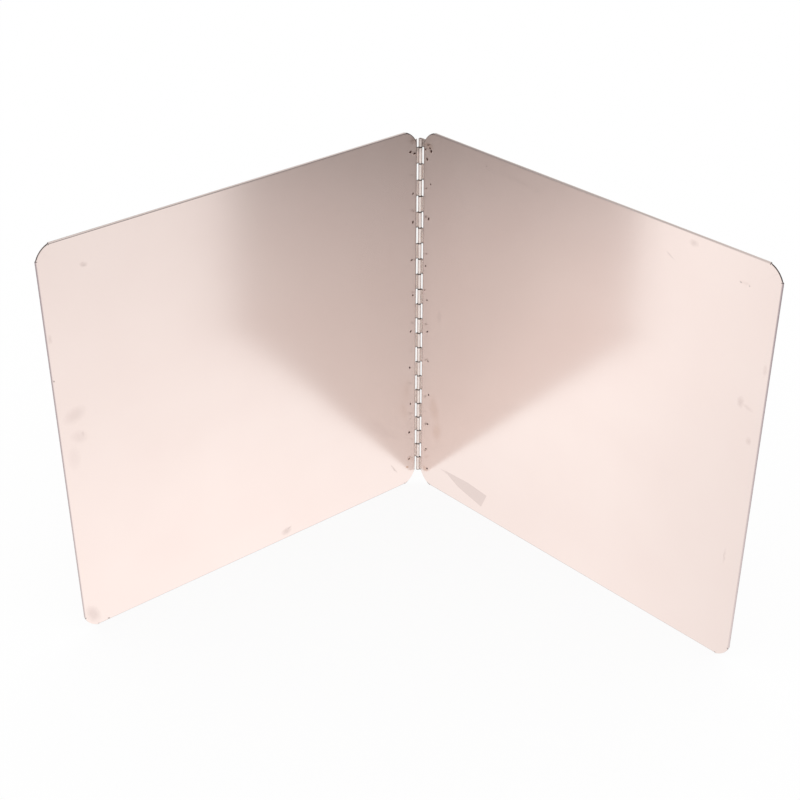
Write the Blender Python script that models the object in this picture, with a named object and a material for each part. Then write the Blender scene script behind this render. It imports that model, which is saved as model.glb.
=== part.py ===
"""Folding splatter screen: two hemmed steel panels on a continuous hinge.

Each wing is modelled in its own frame: Z is the hinge axis, +X runs from the
axis out along the wing, and +Y points into the fold, to the face that the
wings turn to each other. The right wing is the left one mirrored in Y.
"""
import math

import bmesh
import bpy
from mathutils import Vector

# Panels: square sheets with an open hem on three edges
PANEL_HEIGHT = 0.3025
PANEL_WIDTH = 0.3025
SHEET_THICKNESS = 0.0005
HEM_INSIDE_RADIUS = 0.0009
HEM_WIDTH = 0.0070
CORNER_SETBACK = 0.0100
CORNER_RADIUS = 0.0167
RELIEF_WIDTH = 0.0008
RELIEF_DEPTH = 0.0003

# Continuous hinge: leaf stock with knuckles rolled round a wire pin
PIN_RADIUS = 0.00075
PIN_CLEARANCE = 0.00006
PIN_END_RECESS = 0.0004
PIN_END_CHAMFER = 0.0002
LEAF_THICKNESS = 0.0006
LEAF_WIDTH = 0.0135
KNUCKLE_PITCH = 0.0127
KNUCKLE_END_GAP = 0.0003
SHORTEST_CUT_KNUCKLE = 0.0020
CURL_SEAM = 0.0003
NOTCH_CLEARANCE = 0.00136
HINGE_TOP_MARGIN = 0.00775
HINGE_BOTTOM_MARGIN = 0.0090

# How the panels sit on the leaves
WELD_GAP = 0.00025
EDGE_TO_BARREL = 0.00205

# Rest position: the angle between the two inner faces
FOLD_ANGLE = math.radians(95.0)

# Facets: an odd count gives each hem one facet flat on its crest
HEM_FACETS = 9
CORNER_FACETS = 10
CURL_FACETS = 24
PIN_FACETS = 24
SHARPEST_SMOOTH_EDGE = math.radians(35.0)

# Places that follow from the sizes above
HEM_OUTSIDE_RADIUS = HEM_INSIDE_RADIUS + SHEET_THICKNESS
HEM_CREST = HEM_OUTSIDE_RADIUS * math.cos(math.pi / (2 * HEM_FACETS))
CURL_INSIDE_RADIUS = (PIN_RADIUS + PIN_CLEARANCE) / math.cos(math.pi / CURL_FACETS)
BARREL_RADIUS = CURL_INSIDE_RADIUS + LEAF_THICKNESS
LEAF_FRONT = -CURL_INSIDE_RADIUS
LEAF_BACK = -BARREL_RADIUS
NOTCH_EDGE = BARREL_RADIUS + NOTCH_CLEARANCE
PANEL_BACK = LEAF_FRONT + WELD_GAP
PANEL_FRONT = PANEL_BACK + SHEET_THICKNESS
PANEL_INNER_EDGE = BARREL_RADIUS + EDGE_TO_BARREL
PANEL_OUTER_EDGE = PANEL_INNER_EDGE + PANEL_WIDTH
HINGE_BOTTOM = HINGE_BOTTOM_MARGIN
HINGE_TOP = PANEL_HEIGHT - HINGE_TOP_MARGIN
HALF_FOLD = FOLD_ANGLE / 2.0
HINGE_Y = (PANEL_OUTER_EDGE * math.cos(HALF_FOLD) - BARREL_RADIUS) / 2.0


def clear_scene():
    for obj in list(bpy.data.objects):
        bpy.data.objects.remove(obj, do_unlink=True)


def make_material(name, color, roughness):
    material = bpy.data.materials.new(name)
    material.use_nodes = True
    shader = material.node_tree.nodes["Principled BSDF"]
    shader.inputs["Base Color"].default_value = (*color, 1.0)
    shader.inputs["Metallic"].default_value = 1.0
    shader.inputs["Roughness"].default_value = roughness
    return material


def finish_piece(bm, name, material, wing, mirrored):
    """Turn the mesh into a named object on its wing, with its faces outward."""
    if mirrored:
        bmesh.ops.scale(bm, vec=(1.0, -1.0, 1.0), verts=bm.verts)
    bmesh.ops.recalc_face_normals(bm, faces=bm.faces)
    mesh = bpy.data.meshes.new(name)
    bm.to_mesh(mesh)
    bm.free()
    mesh.shade_smooth()
    mesh.set_sharp_from_angle(angle=SHARPEST_SMOOTH_EDGE)
    mesh.materials.append(material)
    obj = bpy.data.objects.new(name, mesh)
    obj.parent = wing
    bpy.context.collection.objects.link(obj)
    return obj


def make_wing(name, turn):
    """An empty on the hinge axis, turned so that its +X runs along the wing."""
    wing = bpy.data.objects.new(name, None)
    wing.location = (0.0, HINGE_Y, 0.0)
    wing.rotation_euler = (0.0, 0.0, turn)
    bpy.context.collection.objects.link(wing)
    return wing


# Panel: a flat blank with arc-cut corners, its hems bent up from its edges
def corner_arc(start, end):
    """Points between start and end on the arc that rounds a corner outward."""
    chord = end - start
    outward = Vector((chord.y, -chord.x)).normalized()
    drop = math.sqrt(CORNER_RADIUS ** 2 - (chord.length / 2.0) ** 2)
    center = (start + end) / 2.0 - outward * drop
    half_sweep = math.asin(chord.length / 2.0 / CORNER_RADIUS)
    points = []
    for step in range(1, CORNER_FACETS):
        angle = half_sweep * (2.0 * step / CORNER_FACETS - 1.0)
        radial = outward * math.cos(angle) + chord.normalized() * math.sin(angle)
        points.append(center + radial * CORNER_RADIUS)
    return points


def hemmed_edge(corner, next_corner):
    """Outline of one hemmed edge, with a bend relief at each end of the hem.

    The two middle points are the ends of the bend line.
    """
    along = (next_corner - corner).normalized()
    inward = Vector((-along.y, along.x))
    bend = inward * HEM_CREST
    relief = inward * (HEM_CREST + RELIEF_DEPTH)
    setback = along * CORNER_SETBACK
    hem_end = along * (CORNER_SETBACK + RELIEF_WIDTH)
    return [
        corner + setback,
        corner + setback + relief,
        corner + hem_end + relief,
        corner + hem_end + bend,
        next_corner - hem_end + bend,
        next_corner - hem_end + relief,
        next_corner - setback + relief,
        next_corner - setback,
    ]


def panel_outline():
    """The blank in X and Z, counterclockwise, and the first point of each bend line."""
    inner_bottom = Vector((PANEL_INNER_EDGE, 0.0))
    outer_bottom = Vector((PANEL_OUTER_EDGE, 0.0))
    outer_top = Vector((PANEL_OUTER_EDGE, PANEL_HEIGHT))
    inner_top = Vector((PANEL_INNER_EDGE, PANEL_HEIGHT))
    edges = [
        hemmed_edge(inner_bottom, outer_bottom),
        hemmed_edge(outer_bottom, outer_top),
        hemmed_edge(outer_top, inner_top),
        [inner_top - Vector((0.0, CORNER_SETBACK)), inner_bottom + Vector((0.0, CORNER_SETBACK))],
    ]
    outline = []
    bends = []
    for index, edge in enumerate(edges):
        following = edges[(index + 1) % len(edges)]
        if len(edge) > 2:
            bends.append(len(outline) + len(edge) // 2 - 1)
        outline += edge + corner_arc(edge[-1], following[0])
    return outline, bends


def bend_hem(bm, face, start, end):
    """Fold the sheet back from the edge face: half a turn, then a straight return."""
    along = (end - start).normalized()
    pivot = Vector((start.x, PANEL_BACK - HEM_INSIDE_RADIUS, start.z))
    bent = bmesh.ops.spin(
        bm,
        geom=[face],
        cent=pivot,
        axis=-along,
        angle=math.pi,
        steps=HEM_FACETS,
        use_duplicate=False,
    )
    fold_end = [item for item in bent["geom_last"] if isinstance(item, bmesh.types.BMFace)]
    extruded = bmesh.ops.extrude_face_region(bm, geom=fold_end)
    bmesh.ops.delete(bm, geom=[face] + fold_end, context="FACES_ONLY")
    moved = [item for item in extruded["geom"] if isinstance(item, bmesh.types.BMVert)]
    inward = Vector((-along.z, 0.0, along.x))
    bmesh.ops.translate(bm, vec=inward * (HEM_WIDTH - HEM_CREST), verts=moved)


def make_panel(name, material, wing, mirrored):
    outline, bends = panel_outline()
    bm = bmesh.new()
    front = [bm.verts.new((point.x, PANEL_FRONT, point.y)) for point in outline]
    back = [bm.verts.new((point.x, PANEL_BACK, point.y)) for point in outline]
    bm.faces.new(front)
    bm.faces.new(reversed(back))
    sides = []
    for index in range(len(outline)):
        after = (index + 1) % len(outline)
        sides.append(bm.faces.new((front[index], back[index], back[after], front[after])))
    bmesh.ops.recalc_face_normals(bm, faces=bm.faces)
    for first in bends:
        bend_hem(bm, sides[first], front[first].co.copy(), front[first + 1].co.copy())
    return finish_piece(bm, name, material, wing, mirrored)


# Hinge: where each knuckle lies on the pin, counted up from the bottom
def knuckle_spans():
    """Bottom and top of every knuckle's place along the pin.

    The strip is sawn to length, so the top knuckle is what is left of a whole one.
    """
    whole = math.floor((HINGE_TOP - HINGE_BOTTOM) / KNUCKLE_PITCH)
    bounds = [HINGE_BOTTOM + KNUCKLE_PITCH * index for index in range(whole + 1)]
    if HINGE_TOP - bounds[-1] > SHORTEST_CUT_KNUCKLE:
        bounds.append(HINGE_TOP)
    else:
        bounds[-1] = HINGE_TOP
    return list(zip(bounds, bounds[1:]))


def own_knuckles(first):
    """The knuckles of one leaf, every second one, with running gaps between them."""
    spans = knuckle_spans()
    last = len(spans) - 1
    knuckles = []
    for index in range(first, len(spans), 2):
        bottom, top = spans[index]
        if index > 0:
            bottom += KNUCKLE_END_GAP / 2.0
        if index < last:
            top -= KNUCKLE_END_GAP / 2.0
        knuckles.append((bottom, top))
    return knuckles


def curl_stations():
    """Outer and inner points of the rolled knuckle, from the notch edge to the seam.

    The sheet leaves the leaf as a flat root, runs round the pin and stops just
    short of the leaf's front face.
    """
    seam_angle = math.asin((CURL_INSIDE_RADIUS - CURL_SEAM) / BARREL_RADIUS)
    sweep = 1.5 * math.pi + seam_angle
    stations = []
    for step in range(CURL_FACETS + 1):
        angle = -0.5 * math.pi - sweep * step / CURL_FACETS
        radial = Vector((math.cos(angle), math.sin(angle)))
        stations.append((radial * BARREL_RADIUS, radial * CURL_INSIDE_RADIUS))
    return stations


def add_curl(bm, low_pair, high_pair, bottom, top):
    """Join one rolled knuckle to the leaf's edge between two levels."""
    low_pairs = [low_pair]
    high_pairs = [high_pair]
    for outer, inner in curl_stations():
        low_pairs.append([bm.verts.new((point.x, point.y, bottom)) for point in (outer, inner)])
        high_pairs.append([bm.verts.new((point.x, point.y, top)) for point in (outer, inner)])
    for index in range(len(low_pairs) - 1):
        low, low_after = low_pairs[index], low_pairs[index + 1]
        high, high_after = high_pairs[index], high_pairs[index + 1]
        bm.faces.new((low[0], low_after[0], high_after[0], high[0]))
        bm.faces.new((low[1], high[1], high_after[1], low_after[1]))
        bm.faces.new((low[0], low[1], low_after[1], low_after[0]))
        bm.faces.new((high[0], high_after[0], high_after[1], high[1]))
    bm.faces.new((low_pairs[-1][0], low_pairs[-1][1], high_pairs[-1][1], high_pairs[-1][0]))


def make_leaf(name, material, wing, mirrored, first_knuckle):
    knuckles = own_knuckles(first_knuckle)
    levels = sorted({HINGE_BOTTOM, HINGE_TOP}.union(*knuckles))
    bm = bmesh.new()
    rows = []
    for level in levels:
        rows.append([
            bm.verts.new((NOTCH_EDGE, LEAF_BACK, level)),
            bm.verts.new((NOTCH_EDGE, LEAF_FRONT, level)),
            bm.verts.new((LEAF_WIDTH, LEAF_FRONT, level)),
            bm.verts.new((LEAF_WIDTH, LEAF_BACK, level)),
        ])
    bm.faces.new(rows[0])
    bm.faces.new(reversed(rows[-1]))
    for index in range(len(levels) - 1):
        low, high = rows[index], rows[index + 1]
        for corner in (1, 2, 3):
            after = (corner + 1) % 4
            bm.faces.new((low[corner], low[after], high[after], high[corner]))
        if (levels[index], levels[index + 1]) in knuckles:
            add_curl(bm, low[:2], high[:2], levels[index], levels[index + 1])
        else:
            bm.faces.new((low[0], low[1], high[1], high[0]))
    return finish_piece(bm, name, material, wing, mirrored)


def make_pin(name, material, wing):
    """A straight wire with eased ends, a little short of the hinge at both."""
    bottom = HINGE_BOTTOM + PIN_END_RECESS
    top = HINGE_TOP - PIN_END_RECESS
    profile = [
        (bottom, PIN_RADIUS - PIN_END_CHAMFER),
        (bottom + PIN_END_CHAMFER, PIN_RADIUS),
        (top - PIN_END_CHAMFER, PIN_RADIUS),
        (top, PIN_RADIUS - PIN_END_CHAMFER),
    ]
    bm = bmesh.new()
    rings = []
    for level, radius in profile:
        ring = []
        for step in range(PIN_FACETS):
            angle = 2.0 * math.pi * step / PIN_FACETS
            ring.append(bm.verts.new((radius * math.cos(angle), radius * math.sin(angle), level)))
        rings.append(ring)
    for low, high in zip(rings, rings[1:]):
        for step in range(PIN_FACETS):
            after = (step + 1) % PIN_FACETS
            bm.faces.new((low[step], low[after], high[after], high[step]))
    bm.faces.new(reversed(rings[0]))
    bm.faces.new(rings[-1])
    return finish_piece(bm, name, material, wing, False)


clear_scene()
left_wing = make_wing("left_wing", -math.pi / 2.0 - HALF_FOLD)
right_wing = make_wing("right_wing", -math.pi / 2.0 + HALF_FOLD)
left_sheet = make_material("left_panel_steel", (0.93, 0.80, 0.75), 0.25)
right_sheet = make_material("right_panel_steel", (0.93, 0.80, 0.75), 0.25)
left_strip = make_material("left_leaf_steel", (0.90, 0.78, 0.73), 0.30)
right_strip = make_material("right_leaf_steel", (0.90, 0.78, 0.73), 0.30)
wire = make_material("pin_steel", (0.62, 0.56, 0.53), 0.35)
make_panel("left_panel", left_sheet, left_wing, mirrored=False)
make_panel("right_panel", right_sheet, right_wing, mirrored=True)
make_leaf("left_hinge_leaf", left_strip, left_wing, mirrored=False, first_knuckle=1)
make_leaf("right_hinge_leaf", right_strip, right_wing, mirrored=True, first_knuckle=0)
make_pin("hinge_pin", wire, right_wing)
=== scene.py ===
import math

import bmesh
import bpy
from mathutils import Matrix, Vector, noise
from mathutils.geometry import delaunay_2d_cdt


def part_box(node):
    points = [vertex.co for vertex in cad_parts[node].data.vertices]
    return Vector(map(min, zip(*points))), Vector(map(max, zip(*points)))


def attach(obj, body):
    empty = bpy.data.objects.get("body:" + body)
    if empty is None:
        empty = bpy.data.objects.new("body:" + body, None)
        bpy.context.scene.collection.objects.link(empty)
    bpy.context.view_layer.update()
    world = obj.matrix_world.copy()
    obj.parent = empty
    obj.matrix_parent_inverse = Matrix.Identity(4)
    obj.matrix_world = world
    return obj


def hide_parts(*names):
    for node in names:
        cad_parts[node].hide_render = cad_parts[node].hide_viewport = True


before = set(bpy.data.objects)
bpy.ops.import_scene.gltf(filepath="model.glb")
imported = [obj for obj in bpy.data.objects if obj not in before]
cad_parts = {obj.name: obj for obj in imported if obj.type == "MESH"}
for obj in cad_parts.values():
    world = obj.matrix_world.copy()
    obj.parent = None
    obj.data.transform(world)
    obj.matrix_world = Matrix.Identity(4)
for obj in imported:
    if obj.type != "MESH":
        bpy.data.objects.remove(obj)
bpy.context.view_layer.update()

# The two wings on the hinge axis
# The screen is two wings on one pin. Each wing is laid out flat, as on the bench: first number
# out from the pin along the sheet, second into the fold, third up. The right wing mirrors the left.
pin_low, pin_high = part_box("hinge_pin")
axis_y = (pin_low.y + pin_high.y) / 2
fold_angle = math.radians(95)


def wing_turn(side):
    """Heading of a wing seen from above: side is -1 for the left wing and 1 for the right."""
    return -math.pi / 2 + side * fold_angle / 2


def stand_up(work, side):
    """Stand a flat-laid piece up on its wing."""
    place = Matrix.Translation((0, axis_y, 0)) @ Matrix.Rotation(wing_turn(side), 4, "Z")
    if side > 0:
        place = place @ Matrix.Diagonal((1, -1, 1, 1))
    work.transform(place)


def take_off(work, name, unrolled=None, cut_and_shade=()):
    """Make an object of a work mesh, with its unrolled place as UV map and its cut faces and hem insides
    marked for a darker tone.
    """
    bmesh.ops.recalc_face_normals(work, faces=work.faces)
    if cut_and_shade:
        cut_and_hem_shade = work.loops.layers.float.new("cut_and_hem_shade")
        for face in cut_and_shade:
            for loop in face.loops:
                loop[cut_and_hem_shade] = 1
    if unrolled:
        pattern = work.loops.layers.uv.new("unrolled")
        for face in work.faces:
            for loop in face.loops:
                loop[pattern].uv = unrolled[loop.vert]
    mesh = bpy.data.meshes.new(name)
    work.to_mesh(mesh)
    work.free()
    mesh.shade_smooth()
    piece = bpy.data.objects.new(name, mesh)
    bpy.context.scene.collection.objects.link(piece)
    return piece


def settle(piece):
    """Keep the piece as its modifiers leave it, as a plain mesh."""
    depsgraph = bpy.context.evaluated_depsgraph_get()
    evaluated = piece.evaluated_get(depsgraph)
    mesh = bpy.data.meshes.new_from_object(evaluated, preserve_all_data_layers=True, depsgraph=depsgraph)
    piece.modifiers.clear()
    piece.data = mesh
    mesh.name = piece.name


def ease_edges(piece, width):
    """Take the sharpness off the cut edges, and let the flat faces stay flat in the light."""
    bevel = piece.modifiers.new("eased edges", "BEVEL")
    bevel.width = width
    bevel.segments = 2
    bevel.limit_method = "ANGLE"
    bevel.angle_limit = math.radians(50)
    weight = piece.modifiers.new("flat faces", "WEIGHTED_NORMAL")
    weight.mode = "FACE_AREA"
    weight.weight = 100
    settle(piece)


# Panels
# Each panel is one square of thin satin stainless sheet with rounded corners. Three edges are
# folded back on themselves in an open hem, and the fourth lies flat on the hinge leaf.
panel_height = 0.3025
panel_width = 0.3025
panel_inner = 0.003467
panel_outer = panel_inner + panel_width
inner_edge_margin = 0.0001
sheet = 0.0005
sheet_front = -0.000067
sheet_back = sheet_front - sheet
sheet_bevel = 0.00012
hem_radius = 0.0010
hem_width = 0.0070
hem_slack = 0.00012
hem_waves = 31
hem_steps = 24
hem_stations = 36
bend_support = 0.0006
corner_setback = 0.0100
corner_radius = 0.0167
corner_steps = 24
relief_width = 0.0003
relief_depth = 0.0003
corner_shade_width = 0.0006
corner_shade_fade = 0.0002
buckle = 0.00010
buckle_fade = 0.040
still_at_hinge = 0.030
still_at_hem = 0.016
buckles_across = 9
buckles_up = 7
cell = 0.012


def corner_center(start, end):
    """Which way the arc that rounds a corner bulges, and its centre, from the ends of its two edges."""
    chord = end - start
    outward = Vector((chord.y, -chord.x)).normalized()
    drop = math.sqrt(corner_radius ** 2 - (chord.length / 2) ** 2)
    return outward, (start + end) / 2 - outward * drop


def corner_cut(start, end):
    """The points of the arc that rounds a corner."""
    outward, center = corner_center(start, end)
    chord = end - start
    run = chord.normalized()
    half = math.asin(chord.length / 2 / corner_radius)
    arc = []
    for step in range(1, corner_steps):
        angle = half * (2 * step / corner_steps - 1)
        arc.append(center + corner_radius * (outward * math.cos(angle) + run * math.sin(angle)))
    return arc


def blank():
    """Outline of the flat blank as bend line and free edges, and the runs that carry a hem."""
    inner_low = Vector((panel_inner, 0))
    outer_low = Vector((panel_outer, 0))
    outer_high = Vector((panel_outer, panel_height))
    inner_high = Vector((panel_inner, panel_height))
    edges = [
        (inner_low, outer_low), (outer_low, outer_high), (outer_high, inner_high), (inner_high, inner_low),
    ]
    parts = []
    for number, (corner, following) in enumerate(edges):
        along = (following - corner).normalized()
        inward = Vector((-along.y, along.x))
        start = corner + along * corner_setback
        end = following - along * corner_setback
        if number == 3:
            parts.append(([start, end], None))
            continue
        slot_floor = inward * (hem_radius + relief_depth)
        first = start + along * relief_width + inward * hem_radius
        last = end - along * relief_width + inward * hem_radius
        bend = [first.lerp(last, step / hem_stations) for step in range(hem_stations + 1)]
        lead_in = [start, start + slot_floor, start + along * relief_width + slot_floor]
        lead_out = [end - along * relief_width + slot_floor, end + slot_floor, end]
        parts.append((lead_in + bend + lead_out, (len(lead_in), inward)))
    outline = []
    hems = []
    for number, (points, hem) in enumerate(parts):
        if hem:
            hems.append((len(outline) + hem[0], hem[1]))
        following = parts[(number + 1) % len(parts)][0]
        outline += points + corner_cut(points[-1], following[0])
    return outline, hems


def lie(u, z, seed):
    """How far the thin sheet lies off its plane, fading out near the hems and the hinge."""
    across = min(u - still_at_hinge, panel_outer - still_at_hem - u)
    inset = min(across, z - still_at_hem, panel_height - still_at_hem - z)
    fade = min(max(inset / buckle_fade, 0), 1)
    return buckle * fade * noise.noise(Vector((u * buckles_across, seed, z * buckles_up)))


def make_panel(name, side, seed):
    """Cut one panel's blank, give the sheet its thickness, fold its hems and ease its cut edges."""
    outline, hems = blank()
    inner = []
    for column in range(1, int(panel_width / cell)):
        for row in range(1, int(panel_height / cell)):
            inner.append(Vector((panel_inner + column * cell, row * cell)))
    low = hem_radius + bend_support
    for row in range(1, int(panel_height / cell)):
        inner.append(Vector((panel_outer - low, row * cell)))
    for column in range(1, int(panel_width / cell)):
        inner.append(Vector((panel_inner + column * cell, low)))
        inner.append(Vector((panel_inner + column * cell, panel_height - low)))
    flat = [point * 1000 for point in outline + inner]
    points, _, triangles, *_ = delaunay_2d_cdt(flat, [], [list(range(len(outline)))], 1, 1e-6)
    work = bmesh.new()
    unrolled = {}
    front = []
    back = []
    for point in points:
        u, z = point.x / 1000, point.y / 1000
        shift = lie(u, z, seed)
        front.append(work.verts.new((u, sheet_front + shift, z)))
        back.append(work.verts.new((u, sheet_back + shift, z)))
        unrolled[front[-1]] = unrolled[back[-1]] = (u, z)
    for a, b, c in triangles:
        work.faces.new((front[a], front[b], front[c]))
        work.faces.new((back[c], back[b], back[a]))
    bent = set()
    cut_and_shade = []
    for first, inward in hems:
        bent.update(range(first, first + hem_stations))
        cut_and_shade += fold_hem(work, front, back, first, inward, seed, unrolled)
    for number in range(len(outline)):
        following = (number + 1) % len(outline)
        if number not in bent:
            edge = work.faces.new((front[number], back[number], back[following], front[following]))
            if edge.calc_center_median().x > panel_inner + inner_edge_margin:
                cut_and_shade.append(edge)
    stand_up(work, side)
    piece = take_off(work, name, unrolled, cut_and_shade)
    ease_edges(piece, sheet_bevel)
    return piece


def fold_hem(work, front, back, first, inward, seed, unrolled):
    """Roll one hem over from its bend line, lay its return flat, and mark its cut ends and, for painted
    shade, its inside.
    """
    center_y = sheet_front - hem_radius
    rows = []
    for station in range(hem_stations + 1):
        start = front[first + station].co
        edge = Vector((start.x, start.z)) - inward * hem_radius
        slack = hem_slack * noise.noise(Vector((start.x * hem_waves, start.z * hem_waves, seed + 5)))
        outer = [front[first + station]]
        inner = [back[first + station]]
        for step in range(1, hem_steps + 1):
            angle = math.pi * step / hem_steps
            ease = slack * (1 - math.cos(angle)) / 2
            for row, radius in ((outer, hem_radius), (inner, hem_radius - sheet)):
                place = edge + inward * (hem_radius - radius * math.sin(angle))
                row.append(work.verts.new((place.x, center_y + radius * math.cos(angle) + ease, place.y)))
                laid = edge + inward * (hem_radius - hem_radius * angle)
                unrolled[row[-1]] = (laid.x, laid.y)
        for row, radius in ((outer, hem_radius), (inner, hem_radius - sheet)):
            place = edge + inward * hem_width
            row.append(work.verts.new((place.x, center_y - radius + 2 * slack, place.y)))
            laid = edge + inward * (2 * hem_radius - hem_radius * math.pi - hem_width)
            unrolled[row[-1]] = (laid.x, laid.y)
        rows.append((outer, inner))
    cut_and_shade = []
    for low, high in zip(rows, rows[1:]):
        for below, above in zip(low, high):
            for step in range(hem_steps + 1):
                wall = work.faces.new((below[step], above[step], above[step + 1], below[step + 1]))
                if below is low[1]:
                    cut_and_shade.append(wall)
        cut_and_shade.append(work.faces.new((low[0][-1], high[0][-1], high[1][-1], low[1][-1])))
    for outer, inner in (rows[0], rows[-1]):
        for step in range(hem_steps + 1):
            cut_and_shade.append(work.faces.new((outer[step], outer[step + 1], inner[step + 1], inner[step])))
    return cut_and_shade


def add(tree, kind, inputs=None, **settings):
    """A node with its settings, and a value or another node's output on each input that is named."""
    node = tree.nodes.new(kind)
    for setting, value in settings.items():
        setattr(node, setting, value)
    for socket, value in (inputs or {}).items():
        if isinstance(value, bpy.types.NodeSocket):
            tree.links.new(value, node.inputs[socket])
        else:
            node.inputs[socket].default_value = value
    return node


def value_step(tree, operation, *values):
    """One step of arithmetic on plain values."""
    return add(tree, "ShaderNodeMath", dict(enumerate(values)), operation=operation).outputs["Value"]


def vector_step(tree, operation, *values):
    """One step of arithmetic on places or directions."""
    step = add(tree, "ShaderNodeVectorMath", dict(enumerate(values)), operation=operation)
    return step.outputs["Value" if operation in ("LENGTH", "DISTANCE", "DOT_PRODUCT") else "Vector"]


def spread(tree, value, low, high, to_low, to_high):
    """Stretch a value from one range to another, held at its ends."""
    return add(tree, "ShaderNodeMapRange", {
        "Value": value, "From Min": low, "From Max": high, "To Min": to_low, "To Max": to_high,
    }).outputs["Result"]


def blend(tree, share, first, second, kind="RGBA"):
    """A tone, or a plain value, part of the way from one to another."""
    mixed = add(tree, "ShaderNodeMix", {"Factor": share, "A": first, "B": second}, data_type=kind)
    return mixed.outputs["Result"]


def blotches(tree, place, scale, detail):
    """Soft uneven patches, so many to the metre."""
    return add(tree, "ShaderNodeTexNoise", {"Vector": place, "Scale": scale, "Detail": detail})


def rolled_grain(tree, place, stretch):
    """Fine scratches that run with the rolling of the sheet: noise drawn out along one direction."""
    drawn = add(tree, "ShaderNodeMapping", {"Vector": place, "Scale": stretch})
    grain = blotches(tree, drawn.outputs["Vector"], 1.0, 4.0)
    grain.inputs["Roughness"].default_value = 0.6
    return grain.outputs["Fac"]


def flat_coordinates(tree, side):
    """The wing's own directions, read from the object's place, for a pattern that lies on the sheet."""
    return add(tree, "ShaderNodeMapping", {
        "Vector": add(tree, "ShaderNodeTexCoord").outputs["Object"],
        "Location": (0, axis_y, 0), "Rotation": (0, 0, wing_turn(side)), "Scale": (1, -side, 1),
    }, vector_type="TEXTURE").outputs["Vector"]


def new_steel(name, metallic):
    """A steel before its finish, with its node tree and its shader."""
    steel = bpy.data.materials.new(name)
    steel.use_nodes = True
    shader = steel.node_tree.nodes["Principled BSDF"]
    shader.inputs["Metallic"].default_value = metallic
    return steel, steel.node_tree, shader


def brush(tree, shader, amount):
    """Draw the gloss out along the unrolled strip, across the way that it was rolled."""
    shader.inputs["Anisotropic"].default_value = amount
    tangent = add(tree, "ShaderNodeTangent", direction_type="UV_MAP", uv_map="unrolled")
    tree.links.new(tangent.outputs["Tangent"], shader.inputs["Tangent"])


def emboss(tree, shader, height, strength, distance):
    """Give the surface relief that is too fine for the mesh."""
    bump = add(tree, "ShaderNodeBump", {"Height": height, "Strength": strength, "Distance": distance})
    tree.links.new(bump.outputs["Normal"], shader.inputs["Normal"])


def soiling(tree, place, spots):
    """How strongly stained a place on the sheet is: each spot is an oval with soft, uneven edges."""
    waver = blotches(tree, place, 350, 3).outputs["Color"]
    shift = vector_step(tree, "MULTIPLY_ADD", waver, (0.0024, 0, 0.0024), (-0.0012, 0, -0.0012))
    ragged = vector_step(tree, "MULTIPLY", vector_step(tree, "ADD", place, shift), (1, 0, 1))
    total = None
    for u, z, half_length, half_width, turn, strength in spots:
        oval = add(tree, "ShaderNodeMapping", {
            "Vector": ragged, "Location": (u / 1000, 0, z / 1000), "Rotation": (0, -math.radians(turn), 0),
            "Scale": (half_length / 1000, 1, half_width / 1000),
        }, vector_type="TEXTURE")
        reach = vector_step(tree, "LENGTH", oval.outputs["Vector"])
        mask = spread(tree, reach, 0.35, 1.25, strength, 0)
        total = value_step(tree, "MAXIMUM", total, mask) if total else mask
    return total


def scuff(tree, place, corners, strength):
    """A rubbed patch with straight, crisp edges between its corners, which run anticlockwise."""
    inside = None
    for (u, z), (next_u, next_z) in zip(corners, corners[1:] + corners[:1]):
        inward = Vector((z - next_z, 0, next_u - u)).normalized()
        depth = vector_step(tree, "DOT_PRODUCT", place, inward)
        past = value_step(tree, "SUBTRACT", depth, (inward.x * u + inward.z * z) / 1000)
        inside = value_step(tree, "MINIMUM", inside, past) if inside else past
    return spread(tree, inside, -0.0003, 0.0003, 0, strength)


def corner_shade(tree, place, start, end, strength):
    """Painted shade: a thin rim just inside the arc that rounds a corner, between the ends of its two edges.
    """
    outward, center = corner_center(start, end)
    flat = vector_step(tree, "MULTIPLY", place, (1, 0, 1))
    reach = vector_step(tree, "DISTANCE", flat, (center.x, 0, center.y))
    inside = corner_radius - corner_shade_width
    rim = spread(tree, reach, inside - corner_shade_fade, inside + corner_shade_fade, 0, strength)
    facing = vector_step(tree, "DOT_PRODUCT", place, (outward.x, 0, outward.y))
    beyond = value_step(tree, "GREATER_THAN", facing, outward.dot(start))
    return value_step(tree, "MULTIPLY", rim, beyond)


def painted_edge_shade(tree, across, up):
    """Painted shade on the folded edges, in a darker, duller tone: most on the outer one, more towards its
    top, and a little along the foot.
    """
    from_outer = value_step(tree, "SUBTRACT", panel_outer, across)
    outer = spread(tree, from_outer, 0.0003, 0.0009, 1, 0)
    outer = value_step(tree, "MULTIPLY", outer, spread(tree, up, 0, panel_height, 0.45, 0.80))
    return value_step(tree, "MAXIMUM", outer, spread(tree, up, 0.0004, 0.0011, 0.30, 0))


satin_tone = (1.0, 0.856, 0.803, 1)
cloud_tone = (0.985, 0.834, 0.781, 1)
film_tone = (0.58, 0.45, 0.42, 1)
rust_tone = (0.62, 0.30, 0.14, 1)
baked_tone = (0.10, 0.065, 0.055, 1)
edge_shade_tone = (0.36, 0.29, 0.32, 1)
cut_and_shade_tone = (0.09, 0.065, 0.06, 1)
film_roughness = 0.42
baked_roughness = 0.60
dull_roughness = 0.45


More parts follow.
